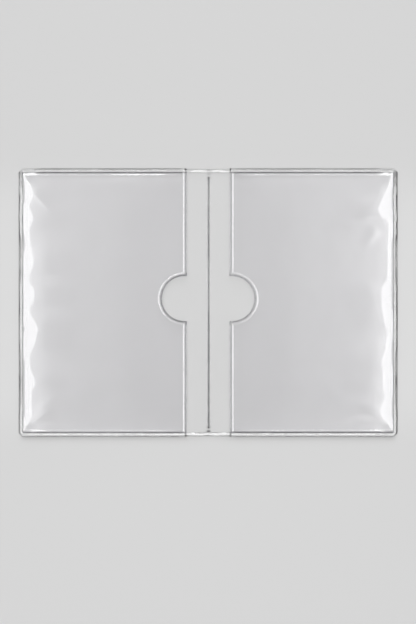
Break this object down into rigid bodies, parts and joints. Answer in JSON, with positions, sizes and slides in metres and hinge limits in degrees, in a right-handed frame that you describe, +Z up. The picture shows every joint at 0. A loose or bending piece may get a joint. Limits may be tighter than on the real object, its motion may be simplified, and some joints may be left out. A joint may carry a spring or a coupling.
{
  "type": "planner pocket insert",
  "caption": "Clear vinyl insert that folds down the middle, with an open-mouthed welded pocket and a thumb notch on each leaf.",
  "frame": {"origin": "middle of the fold line, on the plane of the insert's underside", "axes": "+X across the open insert towards the right leaf, +Y along the fold towards the top edge, +Z up out of the pockets' side"},
  "size_m": [0.21, 0.149, 0.0021],
  "materials": {
    "clear_film": "clear soft vinyl film, glossy, faintly grey",
    "welded_film": "clear vinyl pressed into one thickness by the weld, glossy",
    "beaded_film": "clear vinyl with a rounded, thickened edge, glossy",
    "creased_film": "clear vinyl with a pressed fold line, glossy, greyer along the line"
  },
  "bodies": {
    "left_leaf": {"left_back_panel": "clear_film", "left_pocket_sheet": "clear_film", "left_outer_weld": "welded_film", "left_top_weld": "welded_film", "left_bottom_weld": "welded_film", "left_mouth_bead_upper": "beaded_film", "left_mouth_bead_lower": "beaded_film", "left_thumb_notch_rim": "beaded_film", "left_spine_bead_top": "beaded_film", "left_spine_bead_bottom": "beaded_film", "fold_strip": "creased_film"},
    "right_leaf": {"right_back_panel": "clear_film", "right_pocket_sheet": "clear_film", "right_outer_weld": "welded_film", "right_top_weld": "welded_film", "right_bottom_weld": "welded_film", "right_mouth_bead_upper": "beaded_film", "right_mouth_bead_lower": "beaded_film", "right_thumb_notch_rim": "beaded_film", "right_spine_bead_top": "beaded_film", "right_spine_bead_bottom": "beaded_film"}
  },
  "joints": [
    {"name": "spine_fold", "type": "hinge", "parent": "left_leaf", "child": "right_leaf", "pos_m": [0, 0, 0.00013], "axis": [0, -1, 0], "range_deg": [-170, 170], "deforming": ["fold_strip"]}
  ]
}
